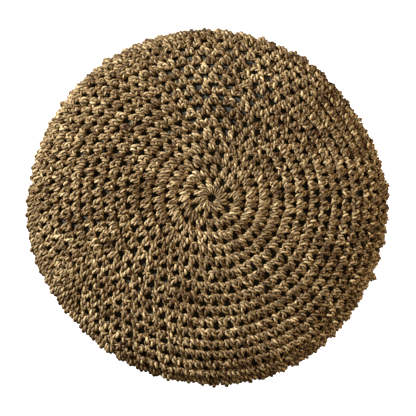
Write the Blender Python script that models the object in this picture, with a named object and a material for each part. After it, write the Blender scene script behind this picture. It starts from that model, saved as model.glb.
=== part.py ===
"""A round crocheted seat pad: a seagrass-cord cover in two panels laced at the rim, over a dark cotton inner pad.

Metres, +Z up. The origin is the centre of the flat underside. Every layer is a turned shell, and all of them share
one family of pillow profiles, so a layer is described by its inset from the outside of the cover. A point on a
profile is named by its fullness angle: 0 on the axis, 90 degrees on the widest line of the rim.
"""

import math

import bmesh
import bpy

# Driving dimensions.
RADIUS = 0.200
THICKNESS = 0.075
RIM_HEIGHT = 0.033
COVER_THICKNESS = 0.009
LINER_THICKNESS = 0.0008
WADDING_THICKNESS = 0.007
GAP = 0.0003

# Where panels end on the profile, in degrees of fullness angle.
FLAT_ANGLE = 30
COVER_EDGE_ANGLE = 84
LINER_EDGE_ANGLE = 70
SIDE_ANGLES = (77, COVER_EDGE_ANGLE)
TOP_ANGLES = (0, 16, 32, 46, 59, LINER_EDGE_ANGLE, *SIDE_ANGLES)
BOTTOM_ANGLES = (0, FLAT_ANGLE, 44, 58, LINER_EDGE_ANGLE, *SIDE_ANGLES)
SIDE_BULGE = 3.4

# Insets of the layers' outer faces from the outside of the cover.
LINER_INSET = COVER_THICKNESS + GAP
WADDING_INSET = LINER_INSET + LINER_THICKNESS + GAP
CORE_INSET = WADDING_INSET + WADDING_THICKNESS + GAP

# Threads of the liner.
THREAD_RADIUS = 0.0004
OPENING_START = math.radians(243)
OPENING_END = math.radians(297)
THREAD_BREAK = math.radians(0.4)

SEGMENTS = 40
SEGMENT_ANGLE = 2 * math.pi / SEGMENTS
SMOOTH_ANGLE = math.radians(40)

# Colours are linear RGB; each entry is colour and roughness.
FINISHES = {
    "seagrass_cord": ((0.33, 0.23, 0.10), 0.55),
    "liner_cotton": ((0.030, 0.031, 0.024), 0.95),
    "sewing_thread": ((0.020, 0.020, 0.018), 0.80),
    "polyester_wadding": ((0.82, 0.82, 0.80), 1.00),
    "foam": ((0.78, 0.70, 0.48), 0.95),
}


def clear_scene():
    for old in list(bpy.data.objects):
        bpy.data.objects.remove(old)


def material(slot):
    found = bpy.data.materials.get(slot)
    if found:
        return found
    colour, roughness = FINISHES[slot]
    made = bpy.data.materials.new(slot)
    made.use_nodes = True
    shader = made.node_tree.nodes["Principled BSDF"]
    shader.inputs["Base Color"].default_value = (*colour, 1.0)
    shader.inputs["Roughness"].default_value = roughness
    shader.inputs["Metallic"].default_value = 0.0
    return made


def add_object(name, data, slot):
    made = bpy.data.objects.new(name, data)
    bpy.context.scene.collection.objects.link(made)
    data.materials.append(material(slot))
    return made


def across(angle, inset):
    """Distance from the axis at a fullness angle."""
    return (RADIUS - inset) * math.sin(math.radians(angle)) ** (2 / SIDE_BULGE)


def upper_point(angle, inset):
    """A point of the domed upper half."""
    rise = (THICKNESS - RIM_HEIGHT - inset) * math.cos(math.radians(angle))
    return across(angle, inset), RIM_HEIGHT + rise


def lower_point(angle, inset):
    """A point of the lower half, which is flat where the pad rests on the seat."""
    depth = (RIM_HEIGHT - inset) / math.cos(math.radians(FLAT_ANGLE))
    sag = RIM_HEIGHT - depth * math.cos(math.radians(angle))
    return across(angle, inset), max(inset, sag)


def shell_outline(point, angles, inset, thickness):
    """The cut outline of a dished panel: its outer face from the axis to its edge, then its inner face back."""
    outer = [point(a, inset) for a in angles]
    inner = [point(a, inset + thickness) for a in reversed(angles)]
    return outer + inner


def turned(name, outline, slot, closed):
    """A solid turned round the Z axis from an outline of (distance from axis, height) points."""
    bm = bmesh.new()
    verts = [bm.verts.new((r, 0.0, z)) for r, z in outline]
    ends = verts[1:] + (verts[:1] if closed else [])
    edges = [bm.edges.new(pair) for pair in zip(verts, ends)]
    bmesh.ops.spin(
        bm,
        geom=verts + edges,
        cent=(0, 0, 0),
        axis=(0, 0, 1),
        angle=2 * math.pi,
        steps=SEGMENTS,
        use_merge=True,
    )
    bmesh.ops.remove_doubles(bm, verts=bm.verts, dist=1e-6)
    bmesh.ops.recalc_face_normals(bm, faces=bm.faces)
    mesh = bpy.data.meshes.new(name)
    bm.to_mesh(mesh)
    bm.free()
    mesh.shade_smooth()
    mesh.set_sharp_from_angle(angle=SMOOTH_ANGLE)
    return add_object(name, mesh, slot)


def dished_panel(name, point, angles, inset, thickness, slot):
    return turned(name, shell_outline(point, angles, inset, thickness), slot, closed=False)


def below(angles, limit):
    return [a for a in angles if a <= limit]


def cover_panels():
    """The two crocheted panels. Each is one long cord worked in rounds from its centre to the rim."""
    for name, point, angles in (
        ("cover_top_panel", upper_point, TOP_ANGLES),
        ("cover_bottom_panel", lower_point, BOTTOM_ANGLES),
    ):
        dished_panel(name, point, angles, 0, COVER_THICKNESS, "seagrass_cord")


def cover_joining_round():
    """The round of cord that laces the two panels together along the widest line of the rim."""

    def face(inset):
        upper = across(COVER_EDGE_ANGLE, inset), upper_point(COVER_EDGE_ANGLE, inset)[1] - GAP
        lower = across(COVER_EDGE_ANGLE, inset), lower_point(COVER_EDGE_ANGLE, inset)[1] + GAP
        return [upper, (RADIUS - inset, RIM_HEIGHT), lower]

    outline = face(0) + face(COVER_THICKNESS)[::-1]
    turned("cover_joining_round", outline, "seagrass_cord", closed=True)


def liner_panels():
    """The dark cotton case of the inner pad: a top, a bottom and a side band sewn between them."""
    for name, point, angles in (
        ("liner_top_panel", upper_point, TOP_ANGLES),
        ("liner_bottom_panel", lower_point, BOTTOM_ANGLES),
    ):
        reach = below(angles, LINER_EDGE_ANGLE)
        dished_panel(name, point, reach, LINER_INSET, LINER_THICKNESS, "liner_cotton")


def liner_side_band():
    """The band stops short of each panel's edge by the width of the seam's thread."""

    def face(inset):
        upper = [upper_point(a, inset) for a in SIDE_ANGLES]
        lower = [lower_point(a, inset) for a in reversed(SIDE_ANGLES)]
        first = seam_edge(upper_point, inset)
        last = seam_edge(lower_point, inset)
        return [first, *upper, (RADIUS - inset, RIM_HEIGHT), *lower, last]

    outline = face(LINER_INSET) + face(LINER_INSET + LINER_THICKNESS)[::-1]
    turned("liner_side_band", outline, "liner_cotton", closed=True)


def seam_edge(point, inset):
    """Where the side band ends, on the straight line from the panel's edge to the band's next point."""
    edge = point(LINER_EDGE_ANGLE, inset)
    neighbour = point(SIDE_ANGLES[0], inset)
    length = math.dist(edge, neighbour)
    share = 2 * (THREAD_RADIUS + GAP) / length
    return tuple(e + (n - e) * share for e, n in zip(edge, neighbour))


def seam_line(point):
    """The middle of the slot between a liner panel and the side band."""
    inset = LINER_INSET + LINER_THICKNESS / 2
    edge = point(LINER_EDGE_ANGLE, inset)
    band = seam_edge(point, inset)
    return tuple((e + b) / 2 for e, b in zip(edge, band))


def thread(name, point, start, end):
    """A stretch of sewing thread lying round the pad in a seam. A whole turn is a closed loop."""
    radius, height = seam_line(point)
    whole = math.isclose(end - start, 2 * math.pi)
    count = round((end - start) / SEGMENT_ANGLE)
    curve = bpy.data.curves.new(name, "CURVE")
    curve.dimensions = "3D"
    curve.bevel_depth = THREAD_RADIUS
    curve.bevel_resolution = 1
    curve.use_fill_caps = True
    spline = curve.splines.new("POLY")
    spline.use_cyclic_u = whole
    points = count if whole else count + 1
    spline.points.add(points - 1)
    for i, place in enumerate(spline.points):
        turn = start + (end - start) * i / count
        place.co = (radius * math.cos(turn), radius * math.sin(turn), height, 1.0)
    return add_object(name, curve, "sewing_thread")


def liner_threads():
    """Machine-sewn seams, and the hand stitches that close the opening the pad was filled through."""
    sewn_from = OPENING_END - 2 * math.pi
    thread("liner_top_seam_thread", upper_point, 0, 2 * math.pi)
    thread("liner_bottom_seam_thread", lower_point, sewn_from, OPENING_START)
    closing = OPENING_START + THREAD_BREAK, OPENING_END - THREAD_BREAK
    thread("liner_closing_thread", lower_point, *closing)


def wadding():
    """Two layers of polyester wadding that round off the core. They meet at the rim."""
    edge = math.degrees(math.acos(GAP / RIM_HEIGHT))
    for name, point, angles in (
        ("wadding_top", upper_point, TOP_ANGLES),
        ("wadding_bottom", lower_point, BOTTOM_ANGLES),
    ):
        reach = (*angles, edge)
        dished_panel(name, point, reach, WADDING_INSET, WADDING_THICKNESS, "polyester_wadding")


def foam_core():
    """The foam disc, with the same pillow section as the layers round it."""
    upper = [upper_point(a, CORE_INSET) for a in TOP_ANGLES]
    rim = [(RADIUS - CORE_INSET, RIM_HEIGHT)]
    lower = [lower_point(a, CORE_INSET) for a in reversed(BOTTOM_ANGLES)]
    turned("foam_core", upper + rim + lower, "foam", closed=False)


def main():
    clear_scene()
    cover_panels()
    cover_joining_round()
    liner_panels()
    liner_side_band()
    liner_threads()
    wadding()
    foam_core()


main()
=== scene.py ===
"""The looks of the crocheted seagrass seat pad: its cord cover, dark liner, seams and filling.

Metres, +Z up. The cover is worked stitch by stitch: a stitch is a path of its cord through a few guide
points, the paths of a round join into one loop, and two twisted plies are swept along that loop. Every layer
follows the pad's turned section, so a place on the pad is an angle round it, an arc length along the section
from the top's centre, and a height off the surface.
"""

import math

import bmesh
import bpy
import numpy as np
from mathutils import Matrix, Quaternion, Vector
from mathutils.bvhtree import BVHTree


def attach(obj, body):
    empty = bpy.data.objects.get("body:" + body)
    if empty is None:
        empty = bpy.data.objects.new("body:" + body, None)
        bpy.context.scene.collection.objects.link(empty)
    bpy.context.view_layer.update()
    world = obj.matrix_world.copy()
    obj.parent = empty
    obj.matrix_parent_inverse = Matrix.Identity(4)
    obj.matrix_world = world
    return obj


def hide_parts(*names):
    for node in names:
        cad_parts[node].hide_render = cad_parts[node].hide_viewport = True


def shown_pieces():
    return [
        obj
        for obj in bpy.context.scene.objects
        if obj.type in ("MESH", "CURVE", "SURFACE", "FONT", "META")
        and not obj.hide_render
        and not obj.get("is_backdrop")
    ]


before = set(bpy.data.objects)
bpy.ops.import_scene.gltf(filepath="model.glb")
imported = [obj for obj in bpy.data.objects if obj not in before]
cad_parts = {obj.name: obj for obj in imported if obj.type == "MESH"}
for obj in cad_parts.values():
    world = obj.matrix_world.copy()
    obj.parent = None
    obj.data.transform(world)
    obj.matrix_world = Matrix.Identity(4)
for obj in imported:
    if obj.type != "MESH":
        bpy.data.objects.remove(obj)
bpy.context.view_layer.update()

# The pad's section, as the CAD part has it.
RADIUS = 0.200
THICKNESS = 0.075
RIM_HEIGHT = 0.033
SIDE_BULGE = 3.4
FLAT_ANGLE = math.radians(30)
COVER_THICKNESS = 0.009
LINER_THICKNESS = 0.0008
WADDING_THICKNESS = 0.007
GAP = 0.0003
LINER_INSET = COVER_THICKNESS + GAP
WADDING_INSET = LINER_INSET + LINER_THICKNESS + GAP
CORE_INSET = WADDING_INSET + WADDING_THICKNESS + GAP
SECTION_STEPS = 600

# Slow swells of the filling that all layers follow: (waves per metre in x and y, phase, height).
SWELLS = (
    (3.0, 1.4, 0.4, 0.0012),
    (-2.0, 4.5, 2.1, 0.0012),
    (6.0, -4.0, 4.0, 0.0008),
)

# The cord: two plies of twisted grass. A ply's thickness and tone vary in bumps of some steps each.
PLY_RADIUS = 0.00134
PLY_OFFSET = 0.00114
CORD_DIAMETER = 0.0045
LAY = 0.0115
STEP = 0.0013
PLY_SIDES = 7
PLY_UNEVENNESS = 0.10
THICKNESS_BUMP = 9
TONE_BUMP = 12
STITCH_TONE = 0.5
GRAIN_LENGTH = 0.01

# The cord is drawn thinner where its strands have less than this room side by side round the pad's axis.
STRAND_ROOM = 0.0047
SQUEEZE_LEAST = 0.45
STITCH_STRANDS = 1.8

# The crochet pattern: stitches in each round from the centre out, and where the rounds lie.
STITCHES = (12, 22, 31, 42, 42, 43, 48, 56, 60, 72, 75, 82, 86, 92, 94)
CENTRE_HOLE = 0.0056
CENTRE_ROUND = 0.0200
SECOND_ROUND = 0.0154
ROUND_SHRINK = 0.00032
JOINING_HEIGHT = 0.012

# Guide points of a stitch: (kind, side step, height, depth). The height is in rounds above the round's foot,
# and the depth in cord diameters out from the middle of the cover. A post point's side step is in stitch
# widths from the stitch's own line, and a chain point's is the share of the way to the next stitch's top.
POST, CHAIN = 0, 1
STITCH = (
    (POST, -0.06, 0.80, -0.66),
    (POST, -0.08, 0.35, -0.66),
    (POST, -0.16, 0.10, -0.60),
    (POST, -0.25, -0.02, -0.20),
    (POST, -0.28, 0.05, 0.40),
    (POST, -0.27, 0.22, 0.60),
    (POST, -0.21, 0.39, 0.42),
    (POST, -0.12, 0.52, -0.05),
    (POST, -0.06, 0.70, -0.42),
    (POST, -0.05, 0.90, -0.42),
    (POST, -0.06, 1.08, -0.02),
    (POST, 0.00, 1.22, 0.22),
    (POST, 0.06, 1.08, -0.02),
    (POST, 0.05, 0.90, -0.40),
    (POST, 0.06, 0.70, -0.38),
    (POST, 0.13, 0.52, 0.00),
    (POST, 0.22, 0.39, 0.44),
    (POST, 0.25, 0.22, 0.62),
    (POST, 0.24, 0.05, 0.42),
    (POST, 0.20, -0.02, -0.20),
    (POST, 0.12, 0.10, -0.62),
    (POST, 0.05, 0.45, -0.66),
    (POST, 0.05, 0.85, -0.60),
    (CHAIN, 0.10, 1.02, -0.35),
    (CHAIN, 0.32, 1.10, 0.12),
    (CHAIN, 0.62, 1.10, 0.12),
    (CHAIN, 0.90, 1.02, -0.40),
)
JOINING_STITCH = (
    (POST, -0.32, 0.50, -0.60),
    (POST, -0.32, 0.02, -0.40),
    (POST, -0.32, -0.15, 0.05),
    (POST, -0.31, 0.12, 0.42),
    (POST, -0.29, 0.50, 0.52),
    (POST, -0.27, 0.88, 0.42),
    (POST, -0.22, 1.15, 0.05),
    (POST, -0.18, 0.98, -0.40),
    (POST, -0.13, 0.50, -0.60),
    (POST, -0.07, 0.02, -0.40),
    (POST, -0.02, -0.15, 0.05),
    (POST, 0.00, 0.12, 0.62),
    (POST, 0.01, 0.50, 0.84),
    (POST, 0.03, 0.88, 0.62),
    (POST, 0.09, 1.15, 0.05),
    (POST, 0.12, 0.98, -0.40),
    (POST, 0.17, 0.50, -0.60),
    (POST, 0.23, 0.02, -0.40),
    (POST, 0.28, -0.15, 0.05),
    (POST, 0.31, 0.12, 0.40),
    (POST, 0.32, 0.50, 0.48),
    (POST, 0.35, 0.88, 0.40),
    (POST, 0.42, 1.15, 0.05),
    (POST, 0.49, 0.98, -0.40),
)
SPAN_STEPS = 5

# How far hand work strays. The passes ease a round's stitches towards an even spacing. Shifts are in stitch
# widths, rises in rounds, spread and lift in shares, and wanders in metres. A round's looseness multiplies
# its rises, spread and lift.
FOOT_PASSES = 1
TOP_PASSES = 4
TOP_SHIFT = 0.06
FOOT_RISE = 0.04
TOP_RISE = 0.05
SPREAD = 0.12
LIFT = 0.12
WANDER = 0.00025
DEPTH_WANDER = 0.0002
CENTRE_LOOSENESS = 0.3
ROUND_LOOSENESS = 1.35
JOINING_LOOSENESS = 1.8
JOINING_SHIFT = 0.11

# A guide point lies at least this arc length from the centre, and wanders round the pad as if it were at least
# this far from the axis.
NEAREST_ARC = 0.0015
NEAREST_AXIS = 0.002

# Plain strands that the joining round is worked over: (arc length from the widest line, depth in cords).
CARRIERS = ((0.0, -0.15), (-0.0045, -0.95), (0.0045, -0.95))
CARRIER_POINTS = 900

# Loose ends of grass at the rim. They start within a band round the widest line, at a root some cords deep,
# and turn sideways and up by shares of their way out. Their curl is in lengths.
FIBRES = 22
FIBRE_RADIUS = 0.00045
FIBRE_STEPS = 8
FIBRE_SHORTEST = 0.003
FIBRE_LONGEST = 0.009
FIBRE_BAND = 0.006
FIBRE_ROOT = 0.7
FIBRE_SIDEWAYS = 0.7
FIBRE_UPWARDS = 0.3
FIBRE_CURL = 0.4
FIBRE_TAPER = 0.8

# The liner is cut as two discs and a band, with a machine seam on each side of the band. The pad is filled
# through an opening in the lower seam, which is then closed by hand. A seam's place is given as a fullness
# angle of the section.
LINER_SEAM_ANGLE = math.radians(70.5)
LINER_START = 0.0020
LINER_MOVE = 0.006
LINER_PLAY = 0.0010
LINER_VOXEL = 0.0055
LINER_SLOT = 0.0009
LINER_ROWS = 90
LINER_SEGMENTS = 96
PRESSURE = 4.0
CLOTH_QUALITY = 6
CLOTH_FRAMES = 20
SEARCH_CHUNK = 4000
SEARCH_STRIDE = 4

# Gathers along the liner's seams: their depth, how far they run, their counts round the pad, and the width
# of the dip that the seam itself makes.
PUCKER_DEPTH = 0.0006
PUCKER_LENGTH = 0.016
PUCKERS = 61
FINE_PUCKERS = 97
FINE_SHARE = 0.7
GATHER_SHARE = 0.6
SEAM_DIP = 0.002

# Machine stitches in both seams, and hand stitches over the filling opening in the lower one.
THREAD_RADIUS = 0.0004
THREAD_SIDES = 6
SEAM_AXIS_DISTANCE = 0.185
SEAM_STITCH = 0.0032
SEAM_STITCH_POINTS = 6
SEAM_STITCH_LIFT = 0.0008
CLOSING_STITCH = 0.0045
CLOSING_STITCH_POINTS = 10
CLOSING_STITCH_RISE = 0.0016
CLOSING_STITCH_LIFT = 0.0006
OPENING_START = math.radians(243)
OPENING_END = math.radians(297)
OPENING_BREAK = math.radians(0.6)

# The filling. The wadding has settled away from the liner.
WADDING_SETTLE = 0.0042
WADDING_EDGE_GAP = 0.0004
FILLING_ROWS = 70
FILLING_SEGMENTS = 160

# The filling's rough surface: the depth and width of its bumps.
WADDING_FLUFF = (0.0005, 0.012)
FOAM_FLUFF = (0.0002, 0.008)
FLUFF_WAVES = 24

# Seeds of the random draws.
PANEL_SEEDS = {"top": 11, "bottom": 12}
JOINING_SEED = 13
FIBRE_SEED = 14
WADDING_SEEDS = {"top": 31, "bottom": 32}
FOAM_SEED = 33

# Looks. Colours are linear RGB.
CORD_COLOURS = (
    (0.25, (0.058, 0.025, 0.007)),
    (0.50, (0.205, 0.125, 0.047)),
    (0.75, (0.69, 0.52, 0.275)),
)
LINER_COLOURS = ((0.026, 0.026, 0.019), (0.060, 0.061, 0.046))
THREAD_COLOURS = ((0.012, 0.012, 0.011), (0.035, 0.035, 0.031))
WADDING_COLOURS = ((0.70, 0.70, 0.67), (0.88, 0.88, 0.86))
FOAM_COLOURS = ((0.62, 0.53, 0.32), (0.80, 0.72, 0.50))
FLOOR_COLOUR = (0.9, 0.9, 0.9)
AMBIENT_COLOUR = (1.0, 0.82, 0.61)
THREAD_PITCH = 0.0009

# The studio. The floor ends where its light fades, and a white backdrop takes over. A light is its place,
# the point it faces, its size, its power and its colour.
FLOOR_SIZE = 3.0
FLOOR_HEIGHT = -0.0005
PAD_MIDDLE = (0, 0, 0.03)
KEY_LIGHT = ((-1.15, 0.09, 0.81), PAD_MIDDLE, 0.20, 44, (0.985, 1.0, 1.02))
FILL_LIGHT = ((1.11, 0.45, 0.55), PAD_MIDDLE, 0.8, 13, (1.0, 0.80, 0.58))
FLOOR_LIGHT = ((0, 0, 3.0), (0, 0, 0), 2.5, 200, (1.0, 1.0, 1.0))

CAMERA_ELEVATION = math.radians(77.5)
CAMERA_DISTANCE = 2.5
CAMERA_ROLL = math.radians(20)
SENSOR_WIDTH = 36
VIEW_WIDTH = 0.4605
AIM_RIGHT = -0.0013
AIM_UP = -0.0030


def pad_section(inset):
    """A layer's section, from the top's centre to the bottom's.

    The columns are arc length, distance from the axis, height, and the two parts of the outward normal.
    """
    t = np.linspace(0, math.pi / 2, SECTION_STEPS)
    x = np.sin(t)
    fall = np.sqrt(np.clip(1 - x**SIDE_BULGE, 0, 1))
    upper_z = RIM_HEIGHT + (THICKNESS - RIM_HEIGHT - inset) * fall
    depth = (RIM_HEIGHT - inset) / math.cos(FLAT_ANGLE)
    lower_z = np.maximum(inset, RIM_HEIGHT - depth * fall)
    r = (RADIUS - inset) * np.concatenate([x, x[-2::-1]])
    z = np.concatenate([upper_z, lower_z[-2::-1]])
    dr, dz = np.gradient(r), np.gradient(z)
    size = np.hypot(dr, dz)
    steps = np.hypot(np.diff(r), np.diff(z))
    s = np.concatenate([[0], np.cumsum(steps)])
    return s, r, z, -dz / size, dr / size


def swell(x, y, z):
    """How far the filling pushes the surface out at a place. The underside lies flat."""
    rise = sum(high * np.sin(2 * math.pi * (a * x + b * y) + phase) for a, b, phase, high in SWELLS)
    return rise * np.clip(z / RIM_HEIGHT, 0, 1)


def place(section, phi, s, w):
    """World points for an angle round the pad, an arc length along the section and a height off it."""
    table_s, r, z, nr, nz = section
    radius = np.interp(s, table_s, r)
    height = np.interp(s, table_s, z)
    w = w + swell(radius * np.cos(phi), radius * np.sin(phi), height)
    radius = radius + w * np.interp(s, table_s, nr)
    height = height + w * np.interp(s, table_s, nz)
    return np.stack([radius * np.cos(phi), radius * np.sin(phi), height], -1)


COVER_SECTION = pad_section(COVER_THICKNESS / 2)
SECTION_LENGTH = COVER_SECTION[0][-1]
WIDEST = COVER_SECTION[0][SECTION_STEPS - 1]


class Side:
    """One panel of the cover, with places given from its own centre and angles as seen from outside."""

    def __init__(self, name):
        self.start = 0 if name == "top" else SECTION_LENGTH
        self.way = 1 if name == "top" else -1
        self.reach = abs(WIDEST - self.start) - JOINING_HEIGHT / 2

    def place(self, phi, s, w):
        return place(COVER_SECTION, self.way * phi, self.start + self.way * s, w)

    def axis_distance(self, s):
        return np.interp(self.start + self.way * s, COVER_SECTION[0], COVER_SECTION[1])


def round_edges(side):
    """Arc length of the foot of each round, and of the last round's top."""
    heights = [SECOND_ROUND - ROUND_SHRINK * k for k in range(len(STITCHES) - 1)]
    start = CENTRE_HOLE + CENTRE_ROUND
    stretch = (side.reach - start) / sum(heights)
    edges = [CENTRE_HOLE, start]
    for height in heights:
        edges.append(edges[-1] + height * stretch)
    return edges


def catmull_rom(points, per_span):
    """A closed smooth curve through the points."""
    before, after = np.roll(points, 1, 0), np.roll(points, -1, 0)
    far = np.roll(points, -2, 0)
    t = (np.arange(per_span) / per_span)[None, :, None]
    a = 2 * points[:, None]
    b = (after - before)[:, None]
    c = (2 * before - 5 * points + 4 * after - far)[:, None]
    d = (3 * points - before - 3 * after + far)[:, None]
    return ((a + b * t + c * t**2 + d * t**3) / 2).reshape(-1, 3)


def even_steps(line, step, *carried):
    """The closed line again, with points an even step apart, and the carried values at them."""
    closed = np.vstack([line, line[:1]])
    gaps = np.linalg.norm(np.diff(closed, axis=0), axis=1)
    along = np.concatenate([[0], np.cumsum(gaps)])
    count = int(round(along[-1] / step))
    at = np.linspace(0, along[-1], count, endpoint=False)
    xyz = np.stack([np.interp(at, along, closed[:, i]) for i in range(3)], -1)
    rest = [np.interp(at, along, np.append(c, c[0])) for c in carried]
    return xyz, at, along[-1], rest


# A direction that no cord starts along.
ANY_WAY = (0.3, 0.5, 0.8)


def unit(v):
    """The vectors at length one."""
    return v / np.maximum(np.linalg.norm(v, axis=-1, keepdims=True), 1e-12)


def rolling_frame(line):
    """The closed line's tangents, a direction square to them that doesn't spin, and how far it ends off."""
    tangent = unit(np.roll(line, -1, 0) - np.roll(line, 1, 0))
    side = np.empty_like(line)
    first = np.cross(tangent[0], ANY_WAY)
    side[0] = first / np.linalg.norm(first)
    for i in range(1, len(line)):
        turned = side[i - 1] - tangent[i] * np.dot(side[i - 1], tangent[i])
        side[i] = turned / math.sqrt(np.dot(turned, turned))
    back = side[-1] - tangent[0] * np.dot(side[-1], tangent[0])
    back /= np.linalg.norm(back)
    cross = np.cross(side[0], back)
    miss = math.atan2(np.dot(cross, tangent[0]), np.dot(side[0], back))
    return tangent, side, miss


def plies(line, at, length, rng, tone, strands):
    """Vertices, faces and per-vertex values of the two plies twisted round a closed line.

    The cord is drawn thinner where that many strands crowd round the pad's axis.
    """
    tangent, side, miss = rolling_frame(line)
    other = np.cross(tangent, side)
    turns = round(length / LAY)
    count = len(line)
    twist = -(2 * math.pi * turns + miss) * at / length
    room = 2 * math.pi * np.hypot(line[:, 0], line[:, 1]) / strands
    squeeze = np.clip(room / STRAND_ROOM, SQUEEZE_LEAST, 1)
    around = np.linspace(0, 2 * math.pi, PLY_SIDES, endpoint=False)
    made = []
    for ply in range(2):
        angle = twist + ply * math.pi
        out = side * np.cos(angle)[:, None] + other * np.sin(angle)[:, None]
        middle = line + out * (PLY_OFFSET * squeeze)[:, None]
        run = unit(np.roll(middle, -1, 0) - np.roll(middle, 1, 0))
        across = unit(np.cross(run, out))
        up = np.cross(across, run)
        radius = PLY_RADIUS * squeeze * (1 + PLY_UNEVENNESS * smooth_noise(count, THICKNESS_BUMP, rng))
        ring = up[:, None] * np.cos(around)[None, :, None] + across[:, None] * np.sin(around)[None, :, None]
        verts = (middle[:, None] + ring * radius[:, None, None]).reshape(-1, 3)
        # The grain's first part runs from one on the ply's outer side to minus one on its side facing the
        # other ply. The cord's look uses it for painted shade in the groove between the plies. The whole grain
        # also places the fibre streaks along the ply.
        grain = np.stack(
            np.broadcast_arrays(np.cos(around)[None], np.sin(around)[None], (at / GRAIN_LENGTH)[:, None]), -1
        ).reshape(-1, 3)
        shade = np.repeat(STITCH_TONE * tone + smooth_noise(count, TONE_BUMP, rng), PLY_SIDES)
        made.append((verts, grain, shade))
    verts = np.vstack([m[0] for m in made])
    verts[:, 2] = np.maximum(verts[:, 2], 0)
    grain = np.vstack([m[1] for m in made])
    shade = np.concatenate([m[2] for m in made])
    faces = tube_faces(count, PLY_SIDES)
    faces = np.vstack([faces, faces + count * PLY_SIDES])
    return verts, faces, grain, shade


def smooth_noise(count, width, rng):
    """Closed noise of about unit size whose bumps are some points wide."""
    knots = max(4, int(count / width))
    values = rng.normal(size=knots)
    at = np.arange(count) / count * knots
    low = at.astype(int)
    share = at - low
    share = share * share * (3 - 2 * share)
    return values[low % knots] * (1 - share) + values[(low + 1) % knots] * share


def tube_faces(count, sides):
    """Four-sided faces of a closed tube of count rings."""
    i = np.arange(count)[:, None]
    j = np.arange(sides)[None]
    near, far = i * sides, ((i + 1) % count) * sides
    ahead = (j + 1) % sides
    quads = np.stack(np.broadcast_arrays(near + j, near + ahead, far + ahead, far + j), -1)
    return quads.reshape(-1, 4)


def build_mesh(name, verts, faces, grain, shade, material):
    """A mesh of four-sided faces that carries the values its material reads."""
    mesh = bpy.data.meshes.new(name)
    mesh.vertices.add(len(verts))
    mesh.vertices.foreach_set("co", verts.astype(np.float32).ravel())
    mesh.loops.add(faces.size)
    mesh.loops.foreach_set("vertex_index", faces.astype(np.int32).ravel())
    mesh.polygons.add(len(faces))
    mesh.polygons.foreach_set("loop_start", np.arange(0, faces.size, 4, dtype=np.int32))
    mesh.update(calc_edges=True)
    mesh.shade_smooth()
    attribute = mesh.attributes.new("grain", "FLOAT_VECTOR", "POINT")
    attribute.data.foreach_set("vector", grain.astype(np.float32).ravel())
    attribute = mesh.attributes.new("tone", "FLOAT", "POINT")
    attribute.data.foreach_set("value", shade.astype(np.float32).ravel())
    mesh.validate()
    return add_object(name, mesh, material)


def add_object(name, mesh, material):
    obj = bpy.data.objects.new(name, mesh)
    bpy.context.scene.collection.objects.link(obj)
    mesh.materials.append(material)
    return obj


def cover_piece(name, node, material, rng, line, at, length, tone, strands=1):
    """A loop of the cover's cord as its own piece."""
    verts, faces, grain, shade = plies(line, at, length, rng, tone, strands)
    piece = build_mesh(name, verts, faces, grain, shade, material)
    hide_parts(node)
    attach(piece, "root")


def relaxed(angles, passes):
    """Angles round the pad eased towards an even spacing, each from its two neighbours."""
    even = np.arange(len(angles)) * 2 * math.pi / len(angles)
    slack = angles - even
    for _ in range(passes):
        slack = (np.roll(slack, 1) + 2 * slack + np.roll(slack, -1)) / 4
    return even + slack


def stitch_angles(rng):
    """For each round, the angle of each stitch's foot and top.

    A stitch is worked into the gap between two tops of the round before. Where the round widens, two
    stitches share a gap.
    """
    rounds = []
    gaps = np.arange(STITCHES[0]) * 2 * math.pi / STITCHES[0]
    for count in STITCHES:
        chosen = np.floor((np.arange(count) + rng.uniform()) * len(gaps) / count).astype(int)
        foot = relaxed(gaps[chosen % len(gaps)] + 2 * math.pi * (chosen // len(gaps)), FOOT_PASSES)
        top = relaxed(foot, TOP_PASSES)
        if rounds:
            top = top + rng.normal(scale=TOP_SHIFT, size=count) * 2 * math.pi / count
        rounds.append((foot, top))
        gaps = (top + np.append(top[1:], top[0] + 2 * math.pi)) / 2
    return rounds


def stitch_line(where, pattern, low, high, foot, top, rng, looseness):
    """The cord's closed path through all the stitches of one round, and a tone value along it."""
    count = len(foot)
    height = high - low
    pitch = 2 * math.pi / count
    following = np.append(top[1:], top[0] + 2 * math.pi)
    rows = []
    foot_rise = rng.normal(scale=FOOT_RISE * looseness, size=count)
    top_rise = rng.normal(scale=TOP_RISE * looseness, size=count)
    spread = 1 + rng.normal(scale=SPREAD * looseness, size=count)
    lift = 1 + rng.normal(scale=LIFT * looseness, size=count)
    for kind, side_step, level, depth in pattern:
        rise = foot_rise + (top_rise - foot_rise) * np.clip(level, 0, 1)
        s = low + (level + rise) * height + rng.normal(scale=WANDER, size=count)
        here = np.maximum(where.axis_distance(s), NEAREST_AXIS)
        if kind == POST:
            phi = foot + (top - foot) * np.clip(level, 0, 1) + side_step * spread * pitch
        else:
            phi = top + (following - top) * side_step
        phi = phi + rng.normal(scale=WANDER, size=count) / here
        w = depth * lift * CORD_DIAMETER + rng.normal(scale=DEPTH_WANDER, size=count)
        rows.append(where.place(phi, np.maximum(s, NEAREST_ARC), w))
    guide = np.stack(rows, 1).reshape(-1, 3)
    line = catmull_rom(guide, SPAN_STEPS)
    tone = np.repeat(rng.normal(size=count), len(pattern) * SPAN_STEPS)
    return even_steps(line, STEP, tone)


def cover_side(name, material):
    """One panel of the cover, from its centre round out."""
    rng = np.random.default_rng(PANEL_SEEDS[name])
    side = Side(name)
    edges = round_edges(side)
    for index, (foot, top) in enumerate(stitch_angles(rng)):
        looseness = ROUND_LOOSENESS if index else CENTRE_LOOSENESS
        low, high = edges[index], edges[index + 1]
        line, at, length, (tone,) = stitch_line(side, STITCH, low, high, foot, top, rng, looseness)
        strands = STITCH_STRANDS * len(foot)
        piece_name = f"cover_{name}_round_{index + 1:02d}"
        cover_piece(piece_name, f"cover_{name}_panel", material, rng, line, at, length, tone, strands)


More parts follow.
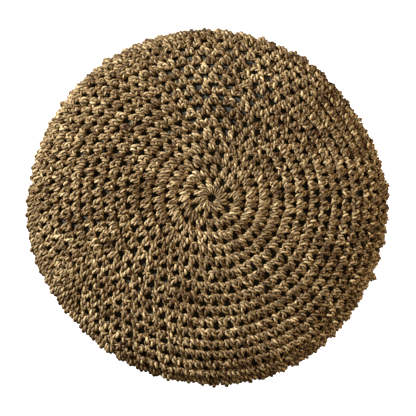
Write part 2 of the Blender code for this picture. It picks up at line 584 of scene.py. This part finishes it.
def joining_round(material):
    """The stitches that lace the two panels together over the widest line, and the strands under them."""
    rng = np.random.default_rng(JOINING_SEED)
    node = "cover_joining_round"
    count = STITCHES[-1]
    pitch = 2 * math.pi / count
    angles = (np.arange(count) + rng.normal(scale=JOINING_SHIFT, size=count)) * pitch
    low, high = WIDEST - JOINING_HEIGHT / 2, WIDEST + JOINING_HEIGHT / 2
    line, at, length, (tone,) = stitch_line(
        Side("top"), JOINING_STITCH, low, high, angles, angles, rng, JOINING_LOOSENESS
    )
    cover_piece("cover_joining_cord", node, material, rng, line, at, length, tone)
    phi = np.linspace(0, 2 * math.pi, CARRIER_POINTS, endpoint=False)
    for number, (aside, depth) in enumerate(CARRIERS, 1):
        s = np.full(CARRIER_POINTS, WIDEST + aside)
        w = np.full(CARRIER_POINTS, depth * CORD_DIAMETER)
        loop = place(COVER_SECTION, phi, s, w)
        line, at, length, (tone,) = even_steps(loop, STEP, np.zeros(CARRIER_POINTS))
        cover_piece(f"cover_joining_carrier_{number}", node, material, rng, line, at, length, tone)


def stray_fibres(material):
    """Ends of grass that have worked loose from the cord round the rim, each tapering to a point."""
    rng = np.random.default_rng(FIBRE_SEED)
    verts, faces, grain = [], [], []
    share = np.linspace(0, 1, FIBRE_STEPS)[:, None]
    for number in range(FIBRES):
        phi = rng.uniform(0, 2 * math.pi)
        start = place(COVER_SECTION, phi, WIDEST + rng.normal(scale=FIBRE_BAND), FIBRE_ROOT * CORD_DIAMETER)
        outward = np.array([math.cos(phi), math.sin(phi), 0])
        aside = np.array([-math.sin(phi), math.cos(phi), 0])
        length = rng.uniform(FIBRE_SHORTEST, FIBRE_LONGEST)
        sideways = aside * rng.normal(scale=FIBRE_SIDEWAYS)
        way = unit(outward + sideways + np.array([0, 0, FIBRE_UPWARDS]) * rng.normal())
        curl = aside * rng.normal(scale=FIBRE_CURL) * length
        line = start + way * length * share + curl * share**2
        radius = FIBRE_RADIUS * (1 - FIBRE_TAPER * share)
        tube_verts, quads, tube_grain = round_tube(line, radius, False)
        faces.append(quads + number * len(tube_verts))
        verts.append(tube_verts)
        grain.append(tube_grain)
    verts = np.vstack(verts)
    piece = build_mesh(
        "cover_stray_fibres", verts, np.vstack(faces), np.vstack(grain), np.ones(len(verts)), material
    )
    close_ends(piece)
    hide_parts("cover_joining_round")
    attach(piece, "root")


def section_height(inset, angle, side):
    """The height of a fullness angle of a layer's section."""
    if side == "top":
        return RIM_HEIGHT + (THICKNESS - RIM_HEIGHT - inset) * math.cos(angle)
    return RIM_HEIGHT - (RIM_HEIGHT - inset) / math.cos(FLAT_ANGLE) * math.cos(angle)


SEAM_HEIGHTS = {side: section_height(LINER_INSET, LINER_SEAM_ANGLE, side) for side in ("top", "bottom")}


def turned_mesh(name, inset, rows, segments):
    """A closed mesh of a layer's outer face."""
    section = pad_section(inset)
    s = np.linspace(0, section[0][-1], rows)[1:-1]
    phi = np.arange(segments) * 2 * math.pi / segments
    grid = place(section, phi[None, :], s[:, None], np.zeros((rows - 2, segments)))
    poles = place(section, np.zeros(2), np.array([0, section[0][-1]]), np.zeros(2))
    verts = np.vstack([grid.reshape(-1, 3), poles])
    top_pole, low_pole = len(verts) - 2, len(verts) - 1
    faces = []
    for i in range(rows - 3):
        for j in range(segments):
            k = (j + 1) % segments
            near, far = i * segments, (i + 1) * segments
            faces.append((near + j, far + j, far + k, near + k))
    last = (rows - 3) * segments
    for j in range(segments):
        k = (j + 1) % segments
        faces.append((top_pole, j, k))
        faces.append((low_pole, last + k, last + j))
    mesh = bpy.data.meshes.new(name)
    mesh.from_pydata(verts.tolist(), [], faces)
    mesh.shade_smooth()
    return mesh


def coordinates(mesh):
    """A mesh's vertices as an array."""
    co = np.empty(len(mesh.vertices) * 3, dtype=np.float32)
    mesh.vertices.foreach_get("co", co)
    return co.reshape(-1, 3).astype(float)


def evaluated_mesh(obj):
    """A copy of an object's mesh with its modifiers applied."""
    return bpy.data.meshes.new_from_object(obj.evaluated_get(bpy.context.evaluated_depsgraph_get()))


def height_off(points, section):
    """How far points stand off a section's surface, and the outward directions there."""
    _, r, z, nr, nz = (column[::SEARCH_STRIDE] for column in section)
    radius = np.hypot(points[:, 0], points[:, 1])
    off = np.empty(len(points))
    outward = np.empty_like(points)
    for start in range(0, len(points), SEARCH_CHUNK):
        part = slice(start, start + SEARCH_CHUNK)
        dr = radius[part, None] - r[None]
        dz = points[part, 2][:, None] - z[None]
        near = np.argmin(dr * dr + dz * dz, axis=1)
        rows = np.arange(len(near))
        off[part] = dr[rows, near] * nr[near] + dz[rows, near] * nz[near]
        aside = points[part, :2] / np.maximum(radius[part, None], 1e-6)
        outward[part, :2] = aside * nr[near][:, None]
        outward[part, 2] = nz[near]
    return off, outward


def inflate(obj):
    """Blows the liner up against the inside of the cover with Blender's cloth."""
    start = coordinates(obj.data)
    cloth = obj.modifiers.new("cloth", "CLOTH")
    cloth.settings.quality = CLOTH_QUALITY
    cloth.settings.use_pressure = True
    cloth.settings.uniform_pressure_force = PRESSURE
    cloth.settings.effector_weights.gravity = 0
    cloth.point_cache.frame_start = 1
    cloth.point_cache.frame_end = CLOTH_FRAMES
    for number in range(1, CLOTH_FRAMES + 1):
        bpy.context.scene.frame_set(number)
    swollen = evaluated_mesh(obj)
    end = coordinates(swollen)
    obj.modifiers.remove(cloth)
    bpy.context.scene.frame_set(1)
    move = end - start
    far = np.linalg.norm(move, axis=1, keepdims=True)
    capped = start + move * np.minimum(1, LINER_MOVE / np.maximum(far, 1e-9))
    obj.data.vertices.foreach_set("co", capped.astype(np.float32).ravel())
    obj.data.update()


def pucker(points, outward):
    """Small gathers that run out from the seams, where the cloth is eased round the rim."""
    phi = np.arctan2(points[:, 1], points[:, 0])
    push = np.zeros(len(points))
    for number, height in enumerate(SEAM_HEIGHTS.values()):
        away = np.abs(points[:, 2] - height)
        fade = np.exp(-away / PUCKER_LENGTH * 2)
        wave = np.sin(PUCKERS * phi + number)
        wave += FINE_SHARE * np.sin(FINE_PUCKERS * phi + 2 * np.sin(5 * phi) + 2 * number)
        push += PUCKER_DEPTH * GATHER_SHARE * fade * wave
        push -= PUCKER_DEPTH * np.exp(-((away / SEAM_DIP) ** 2))
    return points + outward * push[:, None]


def inside_cover(obj):
    """Keeps the cloth inside the cover, and gathers it along the seams."""
    points = coordinates(obj.data)
    off, outward = height_off(points, pad_section(LINER_INSET))
    off -= swell(*points.T)
    eased = np.where(off > 0, 0, LINER_PLAY * (np.exp(np.minimum(off, 0) / LINER_PLAY) - 1))
    points += outward * (eased - off)[:, None]
    points = pucker(points, outward)
    obj.data.vertices.foreach_set("co", points.astype(np.float32).ravel())
    obj.data.update()


def liner_skin():
    """The whole case of the inner pad as one closed skin, before it is cut into its panels."""
    mesh = turned_mesh("liner_skin", LINER_INSET + LINER_START, LINER_ROWS, LINER_SEGMENTS)
    obj = bpy.data.objects.new("liner_skin", mesh)
    bpy.context.scene.collection.objects.link(obj)
    remesh = obj.modifiers.new("remesh", "REMESH")
    remesh.mode = "VOXEL"
    remesh.voxel_size = LINER_VOXEL
    even = evaluated_mesh(obj)
    obj.modifiers.remove(remesh)
    obj.data = even
    inflate(obj)
    smooth = obj.modifiers.new("smooth", "SUBSURF")
    smooth.levels = 1
    fine = evaluated_mesh(obj)
    obj.modifiers.remove(smooth)
    obj.data = fine
    inside_cover(obj)
    return obj


def cut_panel(skin, name, low, high, material):
    """The part of the skin between two heights, as a cloth with its own thickness."""
    bm = bmesh.new()
    bm.from_mesh(skin.data)
    for height, up in ((low, -1), (high, 1)):
        if height is None:
            continue
        everything = bm.verts[:] + bm.edges[:] + bm.faces[:]
        bmesh.ops.bisect_plane(
            bm, geom=everything, plane_co=(0, 0, height), plane_no=(0, 0, up), clear_outer=True, dist=1e-6
        )
    thread_way = bm.verts.layers.float_vector.new("cloth")
    for vert in bm.verts:
        x, y, z = vert.co
        flat = (x, y, 0) if None in (low, high) else (math.atan2(y, x) * RADIUS, z, 0)
        vert[thread_way] = flat
    mesh = bpy.data.meshes.new(name)
    bm.to_mesh(mesh)
    bm.free()
    mesh.shade_smooth()
    piece = add_object(name, mesh, material)
    thick = piece.modifiers.new("thickness", "SOLIDIFY")
    thick.thickness = LINER_THICKNESS
    thick.offset = -1
    solid = evaluated_mesh(piece)
    piece.modifiers.remove(thick)
    piece.data = solid
    return piece


def skin_tree(skin):
    """The skin as a tree that rays can be cast at."""
    bm = bmesh.new()
    bm.from_mesh(skin.data)
    tree = BVHTree.FromBMesh(bm)
    bm.free()
    return tree


def skin_radii(tree, heights, phi):
    """How far the skin is from the axis at each height, along each angle."""
    places = zip(np.broadcast_to(heights, phi.shape), phi)
    return np.array([tree.ray_cast((0, 0, z), (math.cos(a), math.sin(a), 0))[3] for z, a in places])


def round_tube(line, radius, closed):
    """Vertices, faces and per-vertex grain of a plain round tube along a line of points."""
    if closed:
        tangent = unit(np.roll(line, -1, 0) - np.roll(line, 1, 0))
    else:
        tangent = unit(np.gradient(line, axis=0))
    side = unit(np.cross(tangent, (0, 0, 1)))
    up = np.cross(side, tangent)
    around = np.linspace(0, 2 * math.pi, THREAD_SIDES, endpoint=False)
    ring = side[:, None] * np.cos(around)[None, :, None] + up[:, None] * np.sin(around)[None, :, None]
    verts = line[:, None] + ring * np.reshape(radius, (-1, 1, 1))
    faces = tube_faces(len(line), THREAD_SIDES)
    if not closed:
        faces = faces[:-THREAD_SIDES]
    along = np.concatenate([[0], np.cumsum(np.linalg.norm(np.diff(line, axis=0), axis=1))])
    grain = np.stack(
        np.broadcast_arrays(np.cos(around)[None], np.sin(around)[None], (along / GRAIN_LENGTH)[:, None]), -1
    )
    return verts.reshape(-1, 3), faces, grain.reshape(-1, 3)


def thread_piece(name, node, line, closed, material):
    """A round thread swept along a line of points."""
    verts, faces, grain = round_tube(line, THREAD_RADIUS, closed)
    piece = build_mesh(name, verts, faces, grain, np.zeros(len(verts)), material)
    if not closed:
        close_ends(piece)
    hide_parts(node)
    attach(piece, "root")


def close_ends(piece):
    """Fills the open ends of round tubes."""
    bm = bmesh.new()
    bm.from_mesh(piece.data)
    bmesh.ops.holes_fill(bm, edges=bm.edges, sides=THREAD_SIDES)
    bmesh.ops.recalc_face_normals(bm, faces=bm.faces)
    bm.to_mesh(piece.data)
    bm.free()


def seam_thread(tree, name, node, side, start, end, material):
    """Machine stitches in the seam's slot. Each lies on the cloth and dips into it at its ends."""
    height = SEAM_HEIGHTS[side]
    whole = math.isclose(end - start, 2 * math.pi)
    stitches = round((end - start) * SEAM_AXIS_DISTANCE / SEAM_STITCH)
    count = stitches * SEAM_STITCH_POINTS
    share = np.arange(count if whole else count + 1) / count
    phi = start + (end - start) * share
    dip = np.abs(np.sin(math.pi * stitches * share)) ** 0.5
    radius = skin_radii(tree, height, phi) - THREAD_RADIUS + SEAM_STITCH_LIFT * dip
    line = np.stack([radius * np.cos(phi), radius * np.sin(phi), np.full_like(phi, height)], -1)
    thread_piece(name, node, line, whole, material)


def closing_thread(tree, material):
    """Hand stitches that slant across the lower seam and close the opening."""
    height = SEAM_HEIGHTS["bottom"]
    start, end = OPENING_START + OPENING_BREAK, OPENING_END - OPENING_BREAK
    stitches = round((end - start) * SEAM_AXIS_DISTANCE / CLOSING_STITCH)
    count = stitches * CLOSING_STITCH_POINTS
    share = np.arange(count + 1) / count
    turn = 2 * math.pi * stitches * share
    phi = start + (end - start) * share
    rise = CLOSING_STITCH_RISE * np.cos(turn)
    radius = skin_radii(tree, height + rise, phi) + CLOSING_STITCH_LIFT * np.sin(turn)
    line = np.stack([radius * np.cos(phi), radius * np.sin(phi), height + rise], -1)
    thread_piece("liner_closing_stitches", "liner_closing_thread", line, False, material)


def liner_cuts():
    """What the liner is cut to when flat: the radii of its two discs, and the width of its side band."""
    arc, _, heights, _, _ = pad_section(LINER_INSET)
    rim = SECTION_STEPS - 1
    top = np.interp(-SEAM_HEIGHTS["top"], -heights[:rim], arc[:rim])
    bottom = arc[-1] - np.interp(-SEAM_HEIGHTS["bottom"], -heights[rim:], arc[rim:])
    return top, bottom, arc[-1] - top - bottom


def liner_piece(skin, name, node, low, high, material):
    """A panel of the liner, in place of its CAD solid."""
    piece = cut_panel(skin, name, low, high, material)
    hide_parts(node)
    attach(piece, "root")
    return piece


def liner(cloth, thread):
    """The cotton case: its two discs and band, cut from one inflated skin, and the threads of its seams."""
    skin = liner_skin()
    top_cut, bottom_cut, band_width = liner_cuts()
    above = SEAM_HEIGHTS["top"] + LINER_SLOT / 2
    below = SEAM_HEIGHTS["bottom"] - LINER_SLOT / 2
    for side, low, high, cut in (("top", above, None, top_cut), ("bottom", None, below, bottom_cut)):
        disc = liner_piece(skin, f"liner_{side}_cloth", f"liner_{side}_panel", low, high, cloth)
    low, high = SEAM_HEIGHTS["bottom"] + LINER_SLOT / 2, SEAM_HEIGHTS["top"] - LINER_SLOT / 2
    band = liner_piece(skin, "liner_side_cloth", "liner_side_band", low, high, cloth)
    tree = skin_tree(skin)
    seam_thread(tree, "liner_top_seam_stitches", "liner_top_seam_thread", "top", 0, 2 * math.pi, thread)
    sewn = (OPENING_END - 2 * math.pi, OPENING_START)
    seam_thread(tree, "liner_bottom_seam_stitches", "liner_bottom_seam_thread", "bottom", *sewn, thread)
    closing_thread(tree, thread)
    bpy.data.objects.remove(skin)


def fluffed(points, amount, scale, seed):
    """Pushes points out and in by soft noise, as loose fibres settle."""
    rng = np.random.default_rng(seed)
    push = np.zeros(len(points))
    for _ in range(FLUFF_WAVES):
        way = rng.normal(size=3)
        way *= 2 * math.pi / scale / np.linalg.norm(way)
        push += np.sin(points @ way + rng.uniform(0, 2 * math.pi))
    return push * amount / math.sqrt(FLUFF_WAVES / 2)


def wadding_mesh(name, side):
    """Half of a pillow shape, with its own thickness. Its two skins meet at a narrow edge at the rim."""
    outer = pad_section(WADDING_INSET + WADDING_SETTLE)
    inner = pad_section(WADDING_INSET + WADDING_THICKNESS)
    outer_rim, inner_rim = outer[0][SECTION_STEPS - 1], inner[0][SECTION_STEPS - 1]
    if side == "top":
        outer_s = np.linspace(0, outer_rim - WADDING_EDGE_GAP, FILLING_ROWS)
        inner_s = np.linspace(inner_rim - WADDING_EDGE_GAP, 0, FILLING_ROWS)
    else:
        outer_s = np.linspace(outer[0][-1], outer_rim + WADDING_EDGE_GAP, FILLING_ROWS)
        inner_s = np.linspace(inner_rim + WADDING_EDGE_GAP, inner[0][-1], FILLING_ROWS)
    segment = np.arange(FILLING_SEGMENTS)[None]
    phi = segment * 2 * math.pi / FILLING_SEGMENTS
    flat = np.zeros((FILLING_ROWS, FILLING_SEGMENTS))
    outer_skin = place(outer, phi, outer_s[:, None], flat)
    inner_skin = place(inner, phi, inner_s[:, None], flat)
    verts = np.vstack([outer_skin.reshape(-1, 3), inner_skin.reshape(-1, 3)])
    near = np.arange(2 * FILLING_ROWS - 1)[:, None] * FILLING_SEGMENTS
    far = near + FILLING_SEGMENTS
    ahead = (segment + 1) % FILLING_SEGMENTS
    quads = np.stack(np.broadcast_arrays(near + segment, far + segment, far + ahead, near + ahead), -1)
    mesh = bpy.data.meshes.new(name)
    mesh.from_pydata(verts.tolist(), [], quads.reshape(-1, 4).tolist())
    bm = bmesh.new()
    bm.from_mesh(mesh)
    bmesh.ops.remove_doubles(bm, verts=bm.verts, dist=1e-6)
    bmesh.ops.recalc_face_normals(bm, faces=bm.faces)
    bm.to_mesh(mesh)
    bm.free()
    return mesh


def filling_piece(mesh, node, material, seed, fluff):
    """A layer of filling, its surface pushed in by soft noise."""
    amount, scale = fluff
    points = coordinates(mesh)
    mesh.shade_smooth()
    normals = np.empty(len(points) * 3, dtype=np.float32)
    mesh.vertices.foreach_get("normal", normals)
    push = np.minimum(fluffed(points, amount, scale, seed) - amount, 0)
    points = points + normals.reshape(-1, 3) * push[:, None]
    mesh.vertices.foreach_set("co", points.astype(np.float32).ravel())
    mesh.update()
    piece = add_object(mesh.name, mesh, material)
    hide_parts(node)
    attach(piece, "root")


def filling(wadding, foam):
    """The wadding and the foam core, which only an open liner would show."""
    for side, seed in WADDING_SEEDS.items():
        mesh = wadding_mesh(f"wadding_{side}_layer", side)
        node = f"wadding_{side}"
        filling_piece(mesh, node, wadding, seed, WADDING_FLUFF)
    mesh = turned_mesh("foam_disc", CORE_INSET, FILLING_ROWS, FILLING_SEGMENTS)
    filling_piece(mesh, "foam_core", foam, FOAM_SEED, FOAM_FLUFF)


def new_material(name):
    material = bpy.data.materials.new(name)
    material.use_nodes = True
    return material, material.node_tree.nodes, material.node_tree.links


def cord_material():
    """Dried grass: streaks along the plies and a tone for each stitch, with painted shade that makes the
    grooves between the plies darker.
    """
    material, nodes, links = new_material("seagrass_cord_look")
    shader = nodes["Principled BSDF"]
    grain = nodes.new("ShaderNodeAttribute")
    grain.attribute_name = "grain"
    tone = nodes.new("ShaderNodeAttribute")
    tone.attribute_name = "tone"
    stretch = nodes.new("ShaderNodeVectorMath")
    stretch.operation = "MULTIPLY"
    stretch.inputs[1].default_value = (2.1, 2.1, 0.34)
    links.new(grain.outputs["Vector"], stretch.inputs[0])
    streaks = nodes.new("ShaderNodeTexNoise")
    streaks.inputs["Scale"].default_value = 1.6
    streaks.inputs["Detail"].default_value = 3.0
    links.new(stretch.outputs[0], streaks.inputs["Vector"])
    mix = nodes.new("ShaderNodeMath")
    mix.operation = "MULTIPLY_ADD"
    mix.inputs[1].default_value = 0.09
    links.new(tone.outputs["Fac"], mix.inputs[0])
    links.new(streaks.outputs["Fac"], mix.inputs[2])
    ramp = nodes.new("ShaderNodeValToRGB")
    dark, middle, light = CORD_COLOURS
    for element, (position, colour) in zip(ramp.color_ramp.elements, (dark, light)):
        element.position = position
        element.color = (*colour, 1)
    ramp.color_ramp.elements.new(middle[0]).color = (*middle[1], 1)
    links.new(mix.outputs[0], ramp.inputs["Fac"])
    # Painted shade: the base colour is multiplied down towards each ply's side that faces the other ply, where
    # the plies meet in a groove and shade would fall.
    apart = nodes.new("ShaderNodeSeparateXYZ")
    links.new(grain.outputs["Vector"], apart.inputs[0])
    groove = nodes.new("ShaderNodeMapRange")
    groove.inputs["From Min"].default_value = -0.35
    groove.inputs["From Max"].default_value = 0.85
    groove.inputs["To Min"].default_value = 0.20
    groove.inputs["To Max"].default_value = 1.0
    links.new(apart.outputs["X"], groove.inputs["Value"])
    painted_groove_shade = nodes.new("ShaderNodeMix")
    painted_groove_shade.data_type = "RGBA"
    painted_groove_shade.blend_type = "MULTIPLY"
    painted_groove_shade.inputs["Factor"].default_value = 1.0
    links.new(ramp.outputs["Color"], painted_groove_shade.inputs["A"])
    links.new(groove.outputs["Result"], painted_groove_shade.inputs["B"])
    links.new(painted_groove_shade.outputs["Result"], shader.inputs["Base Color"])
    shader.inputs["Roughness"].default_value = 0.46
    shader.inputs["Specular IOR Level"].default_value = 0.22
    bumped(nodes, links, shader, streaks.outputs["Fac"], 0.35, 0.0004)
    return material


def noise_colours(nodes, links, shader, vector, scale, detail, colours):
    """Two colours mixed by noise, straight into the shader's base colour. The noise node comes back."""
    noise = nodes.new("ShaderNodeTexNoise")
    noise.inputs["Scale"].default_value = scale
    noise.inputs["Detail"].default_value = detail
    links.new(vector, noise.inputs["Vector"])
    ramp = nodes.new("ShaderNodeValToRGB")
    for element, position, colour in zip(ramp.color_ramp.elements, (0.3, 0.7), colours):
        element.position = position
        element.color = (*colour, 1)
    links.new(noise.outputs["Fac"], ramp.inputs["Fac"])
    links.new(ramp.outputs["Color"], shader.inputs["Base Color"])
    return noise


def bumped(nodes, links, shader, height, strength, distance):
    """Raises the shader's surface by a height value."""
    bump = nodes.new("ShaderNodeBump")
    bump.inputs["Strength"].default_value = strength
    bump.inputs["Distance"].default_value = distance
    links.new(height, bump.inputs["Height"])
    links.new(bump.outputs["Normal"], shader.inputs["Normal"])


def liner_material():
    """Plain-woven dark cotton: warp and weft ridges, with slubs and worn paler patches."""
    material, nodes, links = new_material("liner_cotton_look")
    shader = nodes["Principled BSDF"]
    cloth = nodes.new("ShaderNodeAttribute")
    cloth.attribute_name = "cloth"
    apart = nodes.new("ShaderNodeSeparateXYZ")
    links.new(cloth.outputs["Vector"], apart.inputs[0])
    ridges = []
    for axis in ("X", "Y"):
        phase = nodes.new("ShaderNodeMath")
        phase.operation = "MULTIPLY"
        phase.inputs[1].default_value = math.pi / THREAD_PITCH
        links.new(apart.outputs[axis], phase.inputs[0])
        wave = nodes.new("ShaderNodeMath")
        wave.operation = "SINE"
        links.new(phase.outputs[0], wave.inputs[0])
        ridges.append(wave)
    weave = nodes.new("ShaderNodeMath")
    weave.operation = "MULTIPLY"
    links.new(ridges[0].outputs[0], weave.inputs[0])
    links.new(ridges[1].outputs[0], weave.inputs[1])
    noise_colours(nodes, links, shader, cloth.outputs["Vector"], 60, 6, LINER_COLOURS)
    shader.inputs["Roughness"].default_value = 0.9
    shader.inputs["Sheen Weight"].default_value = 0.03
    shader.inputs["Sheen Roughness"].default_value = 0.5
    bumped(nodes, links, shader, weave.outputs[0], 0.6, 0.0003)
    return material


def thread_material():
    """Twisted dark sewing thread."""
    material, nodes, links = new_material("sewing_thread_look")
    shader = nodes["Principled BSDF"]
    grain = nodes.new("ShaderNodeAttribute")
    grain.attribute_name = "grain"
    twist = nodes.new("ShaderNodeTexWave")
    twist.wave_type = "BANDS"
    twist.bands_direction = "DIAGONAL"
    twist.inputs["Scale"].default_value = 4.0
    links.new(grain.outputs["Vector"], twist.inputs["Vector"])
    noise_colours(nodes, links, shader, grain.outputs["Vector"], 3, 3, THREAD_COLOURS)
    shader.inputs["Roughness"].default_value = 0.6
    bumped(nodes, links, shader, twist.outputs["Fac"], 0.5, 0.0001)
    return material


def filling_material(name, scale, colours, roughness, sheen, cells=None):
    """Loose fibres or, given a scale for its cells, open foam."""
    material, nodes, links = new_material(name)
    shader = nodes["Principled BSDF"]
    where = nodes.new("ShaderNodeTexCoord")
    noise = noise_colours(nodes, links, shader, where.outputs["Object"], scale, 8, colours)
    height = noise.outputs["Fac"]
    if cells:
        voronoi = nodes.new("ShaderNodeTexVoronoi")
        voronoi.inputs["Scale"].default_value = cells
        links.new(where.outputs["Object"], voronoi.inputs["Vector"])
        height = voronoi.outputs["Distance"]
    shader.inputs["Roughness"].default_value = roughness
    shader.inputs["Sheen Weight"].default_value = sheen
    bumped(nodes, links, shader, height, 0.7, 0.0006)
    return material


def floor_material():
    """Plain pale paint."""
    material, nodes, _ = new_material("floor_paint")
    shader = nodes["Principled BSDF"]
    shader.inputs["Base Color"].default_value = (*FLOOR_COLOUR, 1)
    shader.inputs["Roughness"].default_value = 0.9
    return material


def area_light(name, receivers, place_at, target, size, power, colour):
    """A round soft light that lights only the objects of one collection."""
    data = bpy.data.lights.new(name, "AREA")
    data.shape = "DISK"
    data.size = size
    data.energy = power
    data.color = colour
    obj = bpy.data.objects.new(name, data)
    obj.location = place_at
    obj.rotation_euler = (Vector(target) - Vector(place_at)).to_track_quat("-Z", "Y").to_euler()
    obj.light_linking.receiver_collection = receivers
    bpy.context.scene.collection.objects.link(obj)
    return obj


def collection_of(name, objects):
    made = bpy.data.collections.new(name)
    for obj in objects:
        made.objects.link(obj)
    return made


def studio_world():
    """A warm, dim light from all round, behind a plain pale backdrop."""
    world = bpy.data.worlds.new("studio")
    bpy.context.scene.world = world
    world.use_nodes = True
    nodes, links = world.node_tree.nodes, world.node_tree.links
    ambient = nodes["Background"]
    ambient.inputs["Color"].default_value = (*AMBIENT_COLOUR, 1)
    ambient.inputs["Strength"].default_value = 0.27
    backdrop = nodes.new("ShaderNodeBackground")
    backdrop.inputs["Color"].default_value = (1.0, 1.0, 1.0, 1)
    seen = nodes.new("ShaderNodeLightPath")
    choice = nodes.new("ShaderNodeMixShader")
    links.new(seen.outputs["Is Camera Ray"], choice.inputs["Fac"])
    links.new(ambient.outputs["Background"], choice.inputs[1])
    links.new(backdrop.outputs["Background"], choice.inputs[2])
    links.new(choice.outputs["Shader"], nodes["World Output"].inputs["Surface"])


def stage():
    """The floor, with a light of its own that the pad casts no shadow in, and the two lights of the pad."""
    bpy.ops.mesh.primitive_plane_add(size=FLOOR_SIZE, location=(0, 0, FLOOR_HEIGHT))
    floor = bpy.context.object
    floor.name = "floor"
    floor.data.materials.append(floor_material())
    floor.visible_diffuse = False
    floor.visible_glossy = False
    floor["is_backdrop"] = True
    studio_world()
    pad = collection_of("pad_light_receivers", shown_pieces())
    area_light("key", pad, *KEY_LIGHT)
    area_light("fill", pad, *FILL_LIGHT)
    wash = area_light("floor_wash", collection_of("floor_light_receivers", [floor]), *FLOOR_LIGHT)
    wash.light_linking.blocker_collection = collection_of("floor_light_blockers", [floor])


def camera():
    """Looks down from the pad's near side, rolled, with its aim a little off the pad's middle."""
    data = bpy.data.cameras.new("camera")
    obj = bpy.data.objects.new("camera", data)
    bpy.context.scene.collection.objects.link(obj)
    away = Vector((0, -math.cos(CAMERA_ELEVATION), math.sin(CAMERA_ELEVATION)))
    turn = (-away).to_track_quat("-Z", "Y") @ Quaternion((0, 0, 1), CAMERA_ROLL)
    target = Vector((0, 0, RIM_HEIGHT)) + turn @ Vector((AIM_RIGHT, AIM_UP, 0))
    obj.location = target + away * CAMERA_DISTANCE
    obj.rotation_mode = "QUATERNION"
    obj.rotation_quaternion = turn
    data.sensor_width = SENSOR_WIDTH
    data.lens = SENSOR_WIDTH * CAMERA_DISTANCE / VIEW_WIDTH
    bpy.context.scene.camera = obj
    bpy.context.scene.view_settings.view_transform = "Standard"


def main():
    cord = cord_material()
    cover_side("top", cord)
    cover_side("bottom", cord)
    joining_round(cord)
    stray_fibres(cord)
    liner(liner_material(), thread_material())
    filling(
        filling_material("wadding_look", 300, WADDING_COLOURS, 0.95, 0.3),
        filling_material("foam_look", 40, FOAM_COLOURS, 0.9, 0.05, 900),
    )
    stage()
    camera()


main()
